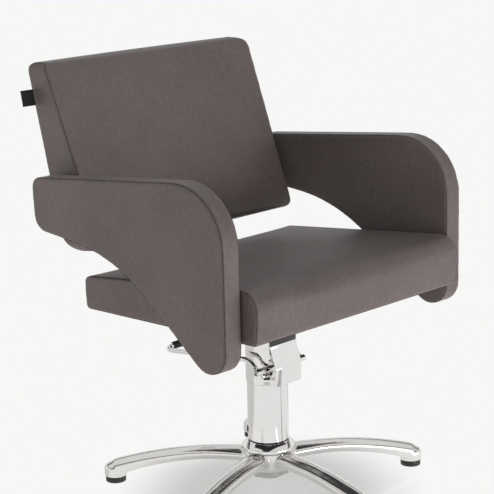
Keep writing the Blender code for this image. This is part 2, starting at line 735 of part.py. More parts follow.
def across(sign, start, end):
    """Return the ordered x limits of a stretch on one side of the chair."""
    return sorted((sign * start, sign * end))


def build_arm(side, sign, holes, parent):
    """Build one arm: upholstered shell, board and inner panel, with its two bolts."""
    outline = arm_outline()
    shell = piece(f"arm_shell_{side}", prism(outline, "X", *across(sign, ARM_INNER, ARM_OUTER)),
                  "taupe_vinyl", parent=parent)
    pocket = prism(inset(outline, ARM_RIM), "X", *across(sign, ARM_INNER - 0.002, ARM_BOARD_OUTER + GAP))
    combine(shell, cutter(f"arm_pocket_{side}", pocket, parent))
    filled = inset(outline, ARM_RIM + GAP)
    pad_outer = ARM_INNER + ARM_INNER_PAD
    board = piece(f"arm_board_{side}", prism(filled, "X", *across(sign, pad_outer + GAP, ARM_BOARD_OUTER)),
                  "birch_ply", parent=parent)
    pad = piece(f"arm_inner_pad_{side}", prism(filled, "X", *across(sign, ARM_INNER, pad_outer)),
                "taupe_vinyl", parent=parent)
    for target in (board, pad):
        combine(target, holes["arm_bolts"])
        combine(target, holes["back_pins"])
    for end, (y, z) in ARM_BOLTS.items():
        start = FRAME_HALF - RAIL_WIDTH + 0.001
        neck = start + ARM_BOLT_HEAD
        bolt = stepped_rod([(start, neck, ARM_BOLT_HEAD_R), (neck, ARM_BOLT_END, ARM_BOLT_R)])
        made = piece(f"arm_bolt_{side}_{end}", bolt, "steel", (0, y, z), parent=parent)
        made.rotation_euler.z = 0.0 if sign > 0 else math.pi


# ---------------------------------------------------------------- back

def rear_face(z):
    """Return the back's depth (y) at a height on its rear face."""
    (low_y, low_z), (high_y, high_z) = BACK_CORNERS[2], BACK_CORNERS[3]
    return low_y + (high_y - low_y) * (z - low_z) / (high_z - low_z)


def back_side(z):
    """Return the back's half width at a height."""
    return BACK_HALF + BACK_TAPER * (z - BACK_HALF_Z)


def pocket_side_view():
    """Return the side view of the cushion's hollow, which is open at the rear."""
    front_top, front_foot, rear_foot, rear_top = back_corners(BACK_PAD)
    behind = BACK_CORNERS[3][0] + 0.02
    return [front_top, front_foot, rear_foot, Vector((behind, rear_foot.y)), Vector((behind, rear_top.y))]


def panel_side_view():
    """Return the side view of the rear panel, between the frame and the rear face."""
    low, high = (corner.y for corner in back_corners(BACK_PAD + GAP)[2:])
    depth = (BACK_PAD - GAP) / math.cos(math.atan(rear_face(1.0) - rear_face(0.0)))
    return [Vector((rear_face(low), low)), Vector((rear_face(high), high)),
            Vector((rear_face(high) - depth, high)), Vector((rear_face(low) - depth, low))]


def back_layer(name, margin, side_view, material, parent):
    """Make a layer of the back: its front view carried through and kept to a side view."""
    front_view = back_front_view(BACK_HALF - margin)
    layer = piece(name, prism(front_view, "Y", 0.10, 0.40), material, parent=parent)
    limit = cutter(f"{name}_side_view", prism(side_view, "X", -0.3, 0.3), parent)
    combine(layer, limit, "INTERSECT")
    return layer


def build_back(holes, parent):
    """Build the back: front cushion, wedge frame and rear panel, with the pins to the arms."""
    cushion = back_layer("back_cushion", 0.0, back_outline(), "taupe_vinyl", parent)
    pocket = back_layer("back_pocket", BACK_PAD, pocket_side_view(), "taupe_vinyl", parent)
    pocket.hide_render = True
    pocket.display_type = "WIRE"
    combine(cushion, pocket)
    combine(cushion, holes["back_pins"])
    frame = back_layer("back_frame", BACK_PAD + GAP, back_corners(BACK_PAD + GAP), "birch_ply", parent)
    combine(frame, holes["back_pins"])
    back_layer("back_rear_panel", BACK_PAD + GAP, panel_side_view(), "taupe_vinyl", parent)
    for side, sign in SIDES.items():
        for level, (y, z) in BACK_PINS.items():
            face = back_side(z + PIN_COLLAR_R) + 2 * GAP
            pin = stepped_rod([(PIN_START, face, PIN_R), (face, ARM_INNER - GAP, PIN_COLLAR_R),
                               (ARM_INNER - GAP, PIN_END, PIN_R)])
            made = piece(f"back_pin_{side}_{level}", pin, "steel", (0, y, z), parent=parent)
            made.rotation_euler.z = 0.0 if sign > 0 else math.pi


def build_tag(parent):
    """Build the small cloth tag sewn into the rear right-hand seam of the back."""
    face = back_side(TAG_Z) + 2 * GAP
    low, high = TAG_Z - TAG_HALF, TAG_Z + TAG_HALF
    corners = [Vector((rear_face(z) - TAG_SETBACK + side * TAG_THICK / 2, z))
               for z, side in ((low, -1), (low, 1), (high, 1), (high, -1))]
    piece("side_tag", prism(corners, "X", -face - TAG_REACH, -face), "black_cloth", parent=parent)


# ---------------------------------------------------------------- whole chair

def shared_holes(parent):
    """Make the cutters for the bolts and pins that cross the arms."""
    bolts, heads, pins = [], [], []
    rail = FRAME_HALF - RAIL_WIDTH
    for sign in SIDES.values():
        for y, z in ARM_BOLTS.values():
            low, high = across(sign, rail - 0.002, ARM_BOLT_END + 0.0005)
            bolts.append(moved(rod(ARM_BOLT_R + GAP, high - low), (low, y, z)))
            low, high = across(sign, rail - 0.002, rail + ARM_BOLT_HEAD + 0.0015)
            heads.append(moved(rod(ARM_BOLT_HEAD_R + GAP, high - low), (low, y, z)))
        for y, z in BACK_PINS.values():
            low, high = across(sign, PIN_START - 0.001, PIN_END + 0.0005)
            pins.append(moved(rod(PIN_R + GAP, high - low), (low, y, z)))
    return {"arm_bolts": cutter("arm_bolt_holes", joined(bolts), parent),
            "arm_bolt_heads": cutter("arm_bolt_counterbores", joined(heads), parent),
            "back_pins": cutter("back_pin_holes", joined(pins), parent)}


def build_chair():
    """Build every piece, each group under an empty on its joint."""
    for old in list(bpy.data.objects):
        bpy.data.objects.remove(old, do_unlink=True)
    base = empty("base", (0, 0, 0))
    swivel = empty("swivel", (0, 0, 0), base)
    lift = empty("lift", (0, 0, 0), swivel)
    pedal = empty("pedal", (0, SHAFT_Y, SHAFT_Z), lift)
    plunger = empty("plunger", (0, 0, 0), lift)
    build_base(base)
    build_column(swivel)
    build_tube(lift)
    build_head(lift)
    build_cover(lift)
    build_plunger(plunger)
    build_pedal(pedal)
    holes = shared_holes(lift)
    build_mounting(lift)
    build_seat(holes, lift)
    for side, sign in SIDES.items():
        build_arm(side, sign, holes, lift)
    build_back(holes, lift)
    build_tag(lift)


build_chair()
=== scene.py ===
"""Looks of the styling chair: padded upholstery, polished metal and a pale studio.

Metres, +Z up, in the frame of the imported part: the swivel axis is Z, the sitter faces -Y and
+X is the sitter's left.
"""

import json
import math

import bmesh
import bpy
import numpy as np
from mathutils import Matrix, Vector, geometry, kdtree


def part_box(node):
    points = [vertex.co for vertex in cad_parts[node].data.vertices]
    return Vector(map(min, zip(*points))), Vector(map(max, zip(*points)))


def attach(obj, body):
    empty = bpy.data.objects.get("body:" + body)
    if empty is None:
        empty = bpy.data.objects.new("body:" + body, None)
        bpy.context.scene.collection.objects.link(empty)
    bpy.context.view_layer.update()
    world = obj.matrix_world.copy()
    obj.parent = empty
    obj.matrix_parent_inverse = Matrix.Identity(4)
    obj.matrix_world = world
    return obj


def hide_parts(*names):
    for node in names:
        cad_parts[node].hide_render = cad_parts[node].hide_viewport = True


SIDES = {"right": -1.0, "left": 1.0}

# camera
CAMERA_PLACE = (-2.1083, -2.0462, 1.1692)
CAMERA_AZIMUTH = math.radians(-45.32)
CAMERA_ELEVATION = math.radians(13.33)
CAMERA_ROLL = math.radians(-1.33)
CAMERA_LENS = 121.6               # on a 36 mm sensor
CAMERA_SHIFT = (-0.0045, -0.0056)

# upholstery outlines, side view (y, z, radius)
ARM_CORNERS = (
    (0.2770, 0.6113, 0.020),
    (-0.2065, 0.6566, 0.105),
    (-0.2065, 0.2885, 0.042),
    (0.0560, 0.4960, 0.360),
    (0.2720, 0.5170, 0.030),
)
SEAT_CORNERS = (
    (0.1950, 0.4355, 0.014),
    (-0.2370, 0.4780, 0.034),
    (-0.2365, 0.4250, 0.0),
    (-0.2323, 0.3826, 0.007),
    (0.1930, 0.3736, 0.007),
)
BACK_CORNERS = (
    (0.2870, 0.8065, 0.010),
    (0.1595, 0.4810, 0.012),
    (0.2640, 0.4615, 0.028),
    (0.3375, 0.8065, 0.014),
)
BACK_WIDTH_Z = 0.600              # height at which the back's half width is given
BACK_HALF = 0.2525
BACK_TAPER = 0.0272               # gain of half width per metre of height
BACK_TOP_CORNERS = (0.010, 0.020)  # front-view corner radii of the back, right and left
BACK_FOOT_CORNER = 0.035
OUTLINE_INSET = 0.0004            # visual outline of arms and seat inside the CAD's
# most that the stuffing lifts a surface
ARM_INNER_SWELL = 0.0016
ARM_SWELL = 0.0034
SEAT_CROWN = 0.009
SEAT_UNDER_SWELL = 0.0004
SEAT_SIDE_SWELL = 0.0014
SEAT_FRONT_SWELL = 0.004
BACK_SIDE_SWELL = 0.0025
BACK_SWELL = 0.0055
SEAM_GROOVE = 0.0024              # how fast the groove at a seam fades
SEAM_REACH = 0.012                # how fast the grime, painted shade and puckers beside a seam fade

# base and pedal
LEG_START = math.radians(-94.2)
LEG_HALF = 0.0195
LEG_FLARE = 0.006                 # extra half width at the hub
LEG_FLARE_LENGTH = 0.09
LEG_INNER = 0.030                 # where a leg starts, inside the hub
LEG_STEP = 0.0062                 # between cross-sections
LEG_TIP = (0.3000, 0.3060, 0.3120, 0.3170, 0.3205)
LEG_CREST = 0.0840
LEG_CREST_FALL = 0.65             # per metre, with the square of the distance
LEG_TIP_FALL = 0.25
LEG_BELLY = 0.0610
LEG_BELLY_FALL = 0.93
LEG_FOOT_Z = 0.0112               # lowest belly, above the glide
FOOT_RADIUS = 0.300
FOOT_R = 0.0215
PLUG_ANGLE = math.radians(135.0)
PLUG_Z = 0.122
TUBE_R = 0.0379
SLOT_ANGLE = math.radians(-137.0)
SHAFT = (-0.0330, 0.2500)         # y, z
SHAFT_R = 0.0063
SHAFT_CLEAR = 0.0003              # between the shaft and its bore
LEVER_HALF = 0.0570
LEVER_END_Y = 0.2170
LEVER_END_Z = 0.2470
LEVER_CORNER = 0.022
LEVER_R = 0.0046
LINK_R = 0.0041
WELD_R = 0.0013
BOLT_R = 0.0039
BOLT_HEAD_R = 0.0065
BOLT_HEAD_HEIGHT = 0.0048
TAG_ROWS = 24
TAG_COLUMNS = 12
TAG_HALF_THICK = 0.00055

WEAVE_STEP = 0.0065               # spacing of the cloth mesh
SIM_FRAMES = 20

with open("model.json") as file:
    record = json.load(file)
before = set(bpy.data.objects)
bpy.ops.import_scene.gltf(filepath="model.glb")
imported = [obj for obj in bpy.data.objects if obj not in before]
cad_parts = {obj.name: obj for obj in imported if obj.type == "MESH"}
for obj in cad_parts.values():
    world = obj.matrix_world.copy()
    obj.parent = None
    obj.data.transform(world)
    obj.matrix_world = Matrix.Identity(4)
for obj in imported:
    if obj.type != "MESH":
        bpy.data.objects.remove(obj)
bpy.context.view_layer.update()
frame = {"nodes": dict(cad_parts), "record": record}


# ---------------------------------------------------------------- material graphs

def shade(tree, kind, settings=None, **inputs):
    """Add a shader node; an input is a value or another node's output socket."""
    made = tree.nodes.new("ShaderNode" + kind)
    for name, value in (settings or {}).items():
        setattr(made, name, value)
    for name, value in inputs.items():
        socket = made.inputs[name.replace("_", " ")]
        if isinstance(value, bpy.types.NodeSocket):
            tree.links.new(value, socket)
        else:
            socket.default_value = value
    return made


def new_material(name, colour, roughness, metallic=0.0, **inputs):
    """Return a material, its node tree, its shader and the piece's own coordinates."""
    material = bpy.data.materials.new(name)
    material.use_nodes = True
    material.diffuse_color = (*colour, 1.0)
    tree = material.node_tree
    shader = tree.nodes["Principled BSDF"]
    shader.inputs["Base Color"].default_value = (*colour, 1.0)
    shader.inputs["Roughness"].default_value = roughness
    shader.inputs["Metallic"].default_value = metallic
    for key, value in inputs.items():
        shader.inputs[key.replace("_", " ")].default_value = value
    coords = shade(tree, "TexCoord").outputs["Object"]
    return material, tree, shader, coords


def noise(tree, coords, scale, detail=2.0, roughness=0.5):
    """Return the value of a noise texture, features 1/scale metres apart."""
    return shade(tree, "TexNoise", Vector=coords, Scale=scale, Detail=detail,
                 Roughness=roughness).outputs["Fac"]


def stretched(tree, coords, scale):
    """Return coordinates scaled by axis, for grain that runs one way."""
    return shade(tree, "Mapping", Vector=coords, Scale=scale).outputs["Vector"]


def ranged(tree, value, low, high, start=0.0, end=1.0, smooth=False):
    """Return a value mapped from start..end to low..high."""
    settings = {"interpolation_type": "SMOOTHSTEP"} if smooth else {}
    made = shade(tree, "MapRange", settings, Value=value)
    for name, number in (("From Min", start), ("From Max", end), ("To Min", low), ("To Max", high)):
        made.inputs[name].default_value = number
    return made.outputs["Result"]


def maths(tree, operation, a, b):
    """Return a sum, product or other mathematical result."""
    made = tree.nodes.new("ShaderNodeMath")
    made.operation = operation
    for socket, value in zip(made.inputs, (a, b)):
        if isinstance(value, bpy.types.NodeSocket):
            tree.links.new(value, socket)
        else:
            socket.default_value = value
    return made.outputs[0]


def tinted(tree, factor, first, second):
    """Return a colour between two, by a factor."""
    made = shade(tree, "Mix", {"data_type": "RGBA"})
    tree.links.new(factor, made.inputs["Factor"])
    made.inputs[6].default_value = (*first, 1.0)
    made.inputs[7].default_value = (*second, 1.0)
    return made.outputs[2]


def bump(tree, height, distance, strength=1.0, normal=None):
    """Return a normal bent by a height; distance is the height's depth in metres."""
    made = shade(tree, "Bump", Height=height, Distance=distance, Strength=strength)
    if normal is not None:
        tree.links.new(normal, made.inputs["Normal"])
    return made.outputs["Normal"]


def scaled(colour, factor):
    """Return a colour made darker or lighter."""
    return tuple(channel * factor for channel in colour)


def vinyl_material():
    """Satin taupe vinyl: pebbled grain, soft mottling, puckered along its seams and darker there, with
    grime and painted shade.
    """
    colour = (0.142, 0.114, 0.109)
    material, tree, shader, coords = new_material(
        "taupe_vinyl", colour, 0.46, Sheen_Weight=0.12, Sheen_Roughness=0.45,
        Specular_IOR_Level=0.34)
    seam = shade(tree, "Attribute", {"attribute_name": "seam"}).outputs["Fac"]
    mottled = maths(tree, "ADD", noise(tree, coords, 7.0, 3.0), noise(tree, coords, 130.0, 3.0))
    tone = tinted(tree, ranged(tree, mottled, 0, 1, 0.72, 1.28), scaled(colour, 0.83), scaled(colour, 1.14))
    pebbles = shade(tree, "TexVoronoi", {"feature": "DISTANCE_TO_EDGE"},
                    Vector=coords, Scale=850.0).outputs["Distance"]
    creases = ranged(tree, pebbles, 0.0, 1.0, 0.0, 0.25)
    grain = shade(tree, "Mix", {"data_type": "RGBA", "blend_type": "MULTIPLY"})
    grain.inputs["Factor"].default_value = 0.10
    tree.links.new(tone, grain.inputs[6])
    tree.links.new(creases, grain.inputs[7])
    # grime and painted shade: a narrow strip along each seam is darkened, standing in for the shade in the
    # seam groove
    seam_grime_and_shade = shade(tree, "Mix", {"data_type": "RGBA"})
    tree.links.new(ranged(tree, seam, 0.0, 0.36, 0.80, 1.0, smooth=True), seam_grime_and_shade.inputs["Factor"])
    tree.links.new(grain.outputs[2], seam_grime_and_shade.inputs[6])
    seam_grime_and_shade.inputs[7].default_value = (*scaled(colour, 0.35), 1.0)
    tree.links.new(seam_grime_and_shade.outputs[2], shader.inputs["Base Color"])
    tree.links.new(ranged(tree, noise(tree, coords, 24.0, 3.0), 0.40, 0.52), shader.inputs["Roughness"])
    pucker = maths(tree, "MULTIPLY", noise(tree, coords, 70.0, 1.0), ranged(tree, seam, 0, 1, 0.02, 0.6))
    normal = bump(tree, pucker, 0.0011)
    normal = bump(tree, noise(tree, coords, 26.0, 2.0), 0.0006, normal=normal)
    normal = bump(tree, creases, 0.00006, normal=normal)
    tree.links.new(normal, shader.inputs["Normal"])
    return material


def chrome_material():
    """Bright chrome plate with faint wipe marks."""
    material, tree, shader, coords = new_material("chrome", (0.80, 0.785, 0.775), 0.06, 1.0)
    wipes = noise(tree, stretched(tree, coords, (1.0, 1.0, 0.15)), 240.0, 3.0)
    cloudy = noise(tree, coords, 18.0, 3.0)
    tree.links.new(ranged(tree, maths(tree, "MULTIPLY", wipes, cloudy), 0.035, 0.11, 0.15, 0.40),
                   shader.inputs["Roughness"])
    tree.links.new(tinted(tree, cloudy, (0.76, 0.745, 0.735), (0.84, 0.83, 0.82)),
                   shader.inputs["Base Color"])
    tree.links.new(bump(tree, noise(tree, coords, 35.0, 1.0), 0.00012), shader.inputs["Normal"])
    return material


def cast_material():
    """Polished cast aluminium: soft waves from the casting and fine polishing lines."""
    material, tree, shader, coords = new_material("polished_aluminium", (0.80, 0.785, 0.77), 0.12, 1.0)
    cloudy = noise(tree, coords, 11.0, 4.0)
    lines = noise(tree, stretched(tree, coords, (1.0, 1.0, 6.0)), 160.0, 3.0)
    tree.links.new(ranged(tree, maths(tree, "ADD", cloudy, lines), 0.13, 0.27, 0.7, 1.3),
                   shader.inputs["Roughness"])
    tree.links.new(tinted(tree, cloudy, (0.74, 0.725, 0.71), (0.85, 0.84, 0.825)),
                   shader.inputs["Base Color"])
    normal = bump(tree, noise(tree, coords, 22.0, 2.0), 0.0004)
    normal = bump(tree, lines, 0.00002, normal=normal)
    tree.links.new(normal, shader.inputs["Normal"])
    return material


def steel_material():
    """Zinc-plated steel with a fine turned grain."""
    material, tree, shader, coords = new_material("steel", (0.50, 0.50, 0.50), 0.30, 1.0)
    lines = noise(tree, stretched(tree, coords, (1.0, 1.0, 12.0)), 300.0, 2.0)
    tree.links.new(ranged(tree, lines, 0.22, 0.42), shader.inputs["Roughness"])
    tree.links.new(tinted(tree, noise(tree, coords, 60.0), (0.42, 0.42, 0.41), (0.60, 0.59, 0.56)),
                   shader.inputs["Base Color"])
    tree.links.new(bump(tree, lines, 0.00003), shader.inputs["Normal"])
    return material


def moulded_material(name, colour, roughness, grain_scale, grain_depth):
    """Moulded plastic, rubber or paint: one colour with a fine surface grain and dust."""
    material, tree, shader, coords = new_material(name, colour, roughness)
    grain = noise(tree, coords, grain_scale, 3.0)
    dust = noise(tree, coords, 40.0, 4.0)
    tree.links.new(tinted(tree, ranged(tree, dust, 0, 1, 0.4, 0.8), colour,
                          tuple(channel * 1.25 + 0.006 for channel in colour)), shader.inputs["Base Color"])
    tree.links.new(ranged(tree, dust, roughness - 0.07, roughness + 0.09), shader.inputs["Roughness"])
    tree.links.new(bump(tree, grain, grain_depth), shader.inputs["Normal"])
    return material


def plywood_material():
    """Birch plywood: pale long grain with darker streaks."""
    material, tree, shader, coords = new_material("birch_ply", (0.55, 0.40, 0.24), 0.6)
    grain = noise(tree, stretched(tree, coords, (30.0, 3.0, 30.0)), 14.0, 5.0)
    streaks = ranged(tree, grain, 0, 1, 0.35, 0.65)
    tree.links.new(tinted(tree, streaks, (0.40, 0.27, 0.15), (0.62, 0.47, 0.29)),
                   shader.inputs["Base Color"])
    tree.links.new(ranged(tree, grain, 0.5, 0.7), shader.inputs["Roughness"])
    tree.links.new(bump(tree, grain, 0.0001), shader.inputs["Normal"])
    return material


def weave_material(name, colour, count):
    """Woven cloth: threads over and under, count of them in a metre."""
    material, tree, shader, coords = new_material(name, colour, 0.85, Sheen_Weight=0.08)
    across = shade(tree, "TexWave", {"bands_direction": "Z"}, Vector=coords, Scale=count / math.tau)
    along = shade(tree, "TexWave", {"bands_direction": "DIAGONAL"}, Vector=coords, Scale=count / math.tau)
    threads = maths(tree, "MULTIPLY", across.outputs["Fac"], along.outputs["Fac"])
    tree.links.new(tinted(tree, threads, scaled(colour, 0.6), scaled(colour, 1.6)),
                   shader.inputs["Base Color"])
    tree.links.new(ranged(tree, threads, 0.9, 0.75), shader.inputs["Roughness"])
    tree.links.new(bump(tree, threads, 0.0001), shader.inputs["Normal"])
    return material


def floor_material():
    """Glossy white studio floor that fades to a plain lit backdrop away from the chair."""
    material, tree, shader, coords = new_material("studio_floor", (0.90, 0.885, 0.875), 0.13)
    distance = shade(tree, "VectorMath", {"operation": "LENGTH"}, Vector=coords).outputs["Value"]
    backdrop = shade(tree, "Emission", Color=(1.0, 1.0, 0.992, 1.0), Strength=0.93)
    mixed = shade(tree, "MixShader")
    tree.links.new(ranged(tree, distance, 0.46, 1.0, 0.13, 0.31, smooth=True), mixed.inputs["Fac"])
    tree.links.new(shader.outputs[0], mixed.inputs[1])
    tree.links.new(backdrop.outputs[0], mixed.inputs[2])
    tree.links.new(mixed.outputs[0], tree.nodes["Material Output"].inputs["Surface"])
    tree.links.new(ranged(tree, noise(tree, coords, 5.0), 0.11, 0.16), shader.inputs["Roughness"])
    return material


MATERIALS = {
    "taupe_vinyl": vinyl_material(),
    "chrome": chrome_material(),
    "polished_aluminium": cast_material(),
    "steel": steel_material(),
    "black_plastic": moulded_material("black_plastic", (0.012, 0.012, 0.013), 0.42, 900.0, 0.00006),
    "black_rubber": moulded_material("black_rubber", (0.010, 0.010, 0.010), 0.62, 500.0, 0.00008),
    "black_paint": moulded_material("black_paint", (0.018, 0.018, 0.020), 0.38, 260.0, 0.00005),
    "white_nylon": moulded_material("white_nylon", (0.72, 0.71, 0.66), 0.45, 400.0, 0.00003),
    "birch_ply": plywood_material(),
    "black_cloth": weave_material("black_cloth", (0.007, 0.007, 0.008), 2200.0),
    "seam_thread": moulded_material("seam_thread", (0.020, 0.016, 0.015), 0.70, 1500.0, 0.00005),
}


# ---------------------------------------------------------------- outlines and plain solids

def rounded(corners, steps=10):
    """Return an outline whose corners (a, b, radius) are replaced by arcs."""
    outline = []
    count = len(corners)
    for index, (a, b, radius) in enumerate(corners):
        corner = Vector((a, b))
        if radius == 0:
            outline.append(corner)
            continue
        before = (Vector(corners[index - 1][:2]) - corner).normalized()
        after = (Vector(corners[(index + 1) % count][:2]) - corner).normalized()
        half = before.angle(after) / 2
        centre = corner + (before + after).normalized() * (radius / math.sin(half))
        first = corner + before * (radius / math.tan(half)) - centre
        last = corner + after * (radius / math.tan(half)) - centre
        turn = first.angle_signed(last)
        for step in range(steps + 1):
            arm = first.copy()
            arm.rotate(Matrix.Rotation(-turn * step / steps, 2))
            outline.append(centre + arm)
    return outline


def area(outline):
    """Return the signed area of an outline, positive when it runs counter-clockwise."""
    pairs = zip(outline, outline[1:] + outline[:1])
    return sum(p.x * q.y - q.x * p.y for p, q in pairs) / 2


def inset(outline, distance):
    """Return the outline moved inwards by a distance, with mitred corners."""
    sign = math.copysign(1.0, area(outline))
    shifted = []
    for index, point in enumerate(outline):
        into = (point - outline[index - 1]).normalized()
        out = (outline[(index + 1) % len(outline)] - point).normalized()
        normal_in = Vector((-into.y, into.x)) * sign
        normal_out = Vector((-out.y, out.x)) * sign
        mitre = (normal_in + normal_out).normalized()
        shifted.append(point + mitre * (distance / mitre.dot(normal_in)))
    return shifted


def evenly(outline, spacing):
    """Return a closed outline's points an even distance apart, counter-clockwise."""
    if area(outline) < 0:
        outline = outline[::-1]
    closed = np.array([tuple(point) for point in outline + outline[:1]])
    lengths = np.linalg.norm(np.diff(closed, axis=0), axis=1)
    along = np.concatenate([[0.0], np.cumsum(lengths)])
    count = max(int(round(along[-1] / spacing)), 8)
    places = np.arange(count) * along[-1] / count
    return np.column_stack([np.interp(places, along, closed[:, axis]) for axis in (0, 1)])


def piece(name, mesh, material, body, replaces=(), smooth=40.0):
    """Make a shown object from a bmesh, or take an object, and tie it to its body."""
    if isinstance(mesh, bmesh.types.BMesh):
        data = bpy.data.meshes.new(name)
        mesh.to_mesh(data)
        mesh.free()
        mesh = bpy.data.objects.new(name, data)
        bpy.context.scene.collection.objects.link(mesh)
    mesh.name = name
    mesh.data.name = name
    mesh.data.materials.clear()
    mesh.data.materials.append(MATERIALS[material])
    if mesh.type == "MESH":
        mesh.data.shade_smooth()
        mesh.data.set_sharp_from_angle(angle=math.radians(smooth))
    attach(mesh, body)
    if replaces:
        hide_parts(*replaces)
    return mesh


def scratch(name, mesh):
    """Make an object that only serves as a tool for a Boolean."""
    data = bpy.data.meshes.new(name)
    mesh.to_mesh(data)
    mesh.free()
    made = bpy.data.objects.new(name, data)
    bpy.context.scene.collection.objects.link(made)
    return made


def settled(obj):
    """Replace an object's mesh by what its modifiers make of it."""
    graph = bpy.context.evaluated_depsgraph_get()
    data = bpy.data.meshes.new_from_object(obj.evaluated_get(graph))
    obj.modifiers.clear()
    obj.data = data
    return obj


def combined(obj, tool, operation):
    """Apply an exact Boolean with a tool, which is then removed."""
    change = obj.modifiers.new(operation, "BOOLEAN")
    change.operation = operation
    change.object = tool
    change.solver = "EXACT"
    settled(obj)
    bpy.data.objects.remove(tool)
    return obj


def softened(obj, width, segments=3, angle=30.0):
    """Round an object's sharp edges."""
    edge = obj.modifiers.new("edges", "BEVEL")
    edge.width = width
    edge.segments = segments
    edge.limit_method = "ANGLE"
    edge.angle_limit = math.radians(angle)
    edge.harden_normals = False
    settled(obj)
    obj.data.shade_smooth()
    obj.data.set_sharp_from_angle(angle=math.radians(50.0))
    return obj


def turned(profile, segments=96, axis="Z", centre=(0.0, 0.0, 0.0)):
    """Return a bmesh of a closed profile (radius, height) turned about an axis."""
    solid = bmesh.new()
    ring = [solid.verts.new((r, 0.0, z)) for r, z in profile]
    edges = [solid.edges.new(pair) for pair in zip(ring, ring[1:] + ring[:1])]
    bmesh.ops.spin(solid, geom=ring + edges, cent=(0, 0, 0), axis=(0, 0, 1),
                   angle=math.tau, steps=segments, use_merge=True)
    bmesh.ops.remove_doubles(solid, verts=solid.verts, dist=1e-6)
    on_axis = [edge for edge in solid.edges if not edge.link_faces]
    bmesh.ops.delete(solid, geom=on_axis, context="EDGES")
    if axis == "X":
        turn = Matrix.Rotation(math.pi / 2, 4, "Y")
        bmesh.ops.transform(solid, matrix=turn, verts=solid.verts)
    bmesh.ops.translate(solid, verts=solid.verts, vec=Vector(centre))
    bmesh.ops.recalc_face_normals(solid, faces=solid.faces)
    return solid


def prism(outline, start, end):
    """Return a bmesh of an outline (y, z) carried along X."""
    solid = bmesh.new()
    ring = [solid.verts.new((start, point[0], point[1])) for point in outline]
    face = solid.faces.new(ring)
    grown = bmesh.ops.extrude_face_region(solid, geom=[face])
    far_end = [item for item in grown["geom"] if isinstance(item, bmesh.types.BMVert)]
    bmesh.ops.translate(solid, verts=far_end, vec=Vector((end - start, 0.0, 0.0)))
    bmesh.ops.recalc_face_normals(solid, faces=solid.faces)
    return solid


def smooth_path(points, per_stretch=6):
    """Return a path that runs smoothly through the points."""
    ends = [2 * points[0] - points[1]] + list(points) + [2 * points[-1] - points[-2]]
    path = []
    for a, b, c, d in zip(ends, ends[1:], ends[2:], ends[3:]):
        for step in range(per_stretch):
            t = step / per_stretch
            path.append(0.5 * (2 * b + (c - a) * t + (2 * a - 5 * b + 4 * c - d) * t ** 2
                               + (3 * b - a - 3 * c + d) * t ** 3))
    return path + [points[-1]]


def swept(name, path, radius, closed=False, sides=5):
    """Return a round bar along a path, as a curve with filled ends."""
    curve = bpy.data.curves.new(name, "CURVE")
    curve.dimensions = "3D"
    curve.bevel_depth = radius
    curve.bevel_resolution = sides
    curve.use_fill_caps = not closed
    spline = curve.splines.new("POLY")
    spline.points.add(len(path) - 1)
    spline.use_cyclic_u = closed
    spline.use_smooth = True
    for point, place in zip(spline.points, path):
        point.co = (*place, 1.0)
    made = bpy.data.objects.new(name, curve)
    bpy.context.scene.collection.objects.link(made)
    return made


# ---------------------------------------------------------------- upholstery

def inside(points, outline):
    """Return which points lie in a closed outline (even-odd rule)."""
    x, y = points[:, 0][:, None], points[:, 1][:, None]
    ax, ay = outline[:, 0], outline[:, 1]
    bx, by = np.roll(ax, -1), np.roll(ay, -1)
    spans = (ay > y) != (by > y)
    crossing = ax + (y - ay) * (bx - ax) / np.where(by == ay, 1e-12, by - ay)
    return (spans & (x < crossing)).sum(axis=1) % 2 == 1


def panel_fill(outline, spacing):
    """Return points and triangles that fill an outline evenly; its own points come first."""
    low, high = outline.min(axis=0), outline.max(axis=0)
    rows = np.arange(low[1], high[1], spacing * math.sqrt(3) / 2)
    grid = np.array([(a + (k % 2) * spacing / 2, b) for k, b in enumerate(rows)
                     for a in np.arange(low[0], high[0], spacing)])
    gaps = np.linalg.norm(grid[:, None, :] - outline[None, :, :], axis=2).min(axis=1)
    grid = grid[inside(grid, outline) & (gaps > 0.6 * spacing)]
    points = [Vector(p) for p in np.vstack([outline, grid])]
    made = geometry.delaunay_2d_cdt(points, [], [list(range(len(outline)))], 1, 1e-7)
    return np.array([tuple(p) for p in made[0]]), made[2]


def stuffed_mesh(name, outline, edge, rows):
    """Make a closed mesh: an outline (y, z) carried between two side panels.

    edge(y, z, t) gives x across the piece, t from 0 to 1. Returns the object and its outline's
    point count, so that row k of the band holds the vertices from k * count.
    """
    count = len(outline)
    points, triangles = panel_fill(outline, WEAVE_STEP)
    band = [(edge(y, z, k / rows), y, z) for k in range(rows + 1) for y, z in outline]
    fill = points[count:]
    low_side = [(edge(y, z, 0.0), y, z) for y, z in fill]
    high_side = [(edge(y, z, 1.0), y, z) for y, z in fill]
    faces = []
    for k in range(rows):
        for i in range(count):
            j = (i + 1) % count
            faces.append((k * count + i, k * count + j, (k + 1) * count + j, (k + 1) * count + i))
    first_low = (rows + 1) * count
    first_high = first_low + len(fill)

    def low(i):
        return i if i < count else first_low + i - count

    def high(i):
        return rows * count + i if i < count else first_high + i - count

    for triangle in triangles:
        faces.append(tuple(low(i) for i in reversed(triangle)))
        faces.append(tuple(high(i) for i in triangle))
    data = bpy.data.meshes.new(name)
    data.from_pydata(band + low_side + high_side, [], faces)
    solid = bmesh.new()
    solid.from_mesh(data)
    bmesh.ops.recalc_face_normals(solid, faces=solid.faces)
    solid.to_mesh(data)
    solid.free()
    made = bpy.data.objects.new(name, data)
    bpy.context.scene.collection.objects.link(made)
    return made, count


def coordinates(data):
    """Return a mesh's vertex places as an array."""
    places = np.zeros(len(data.vertices) * 3)
    data.vertices.foreach_get("co", places)
    return places.reshape(-1, 3)


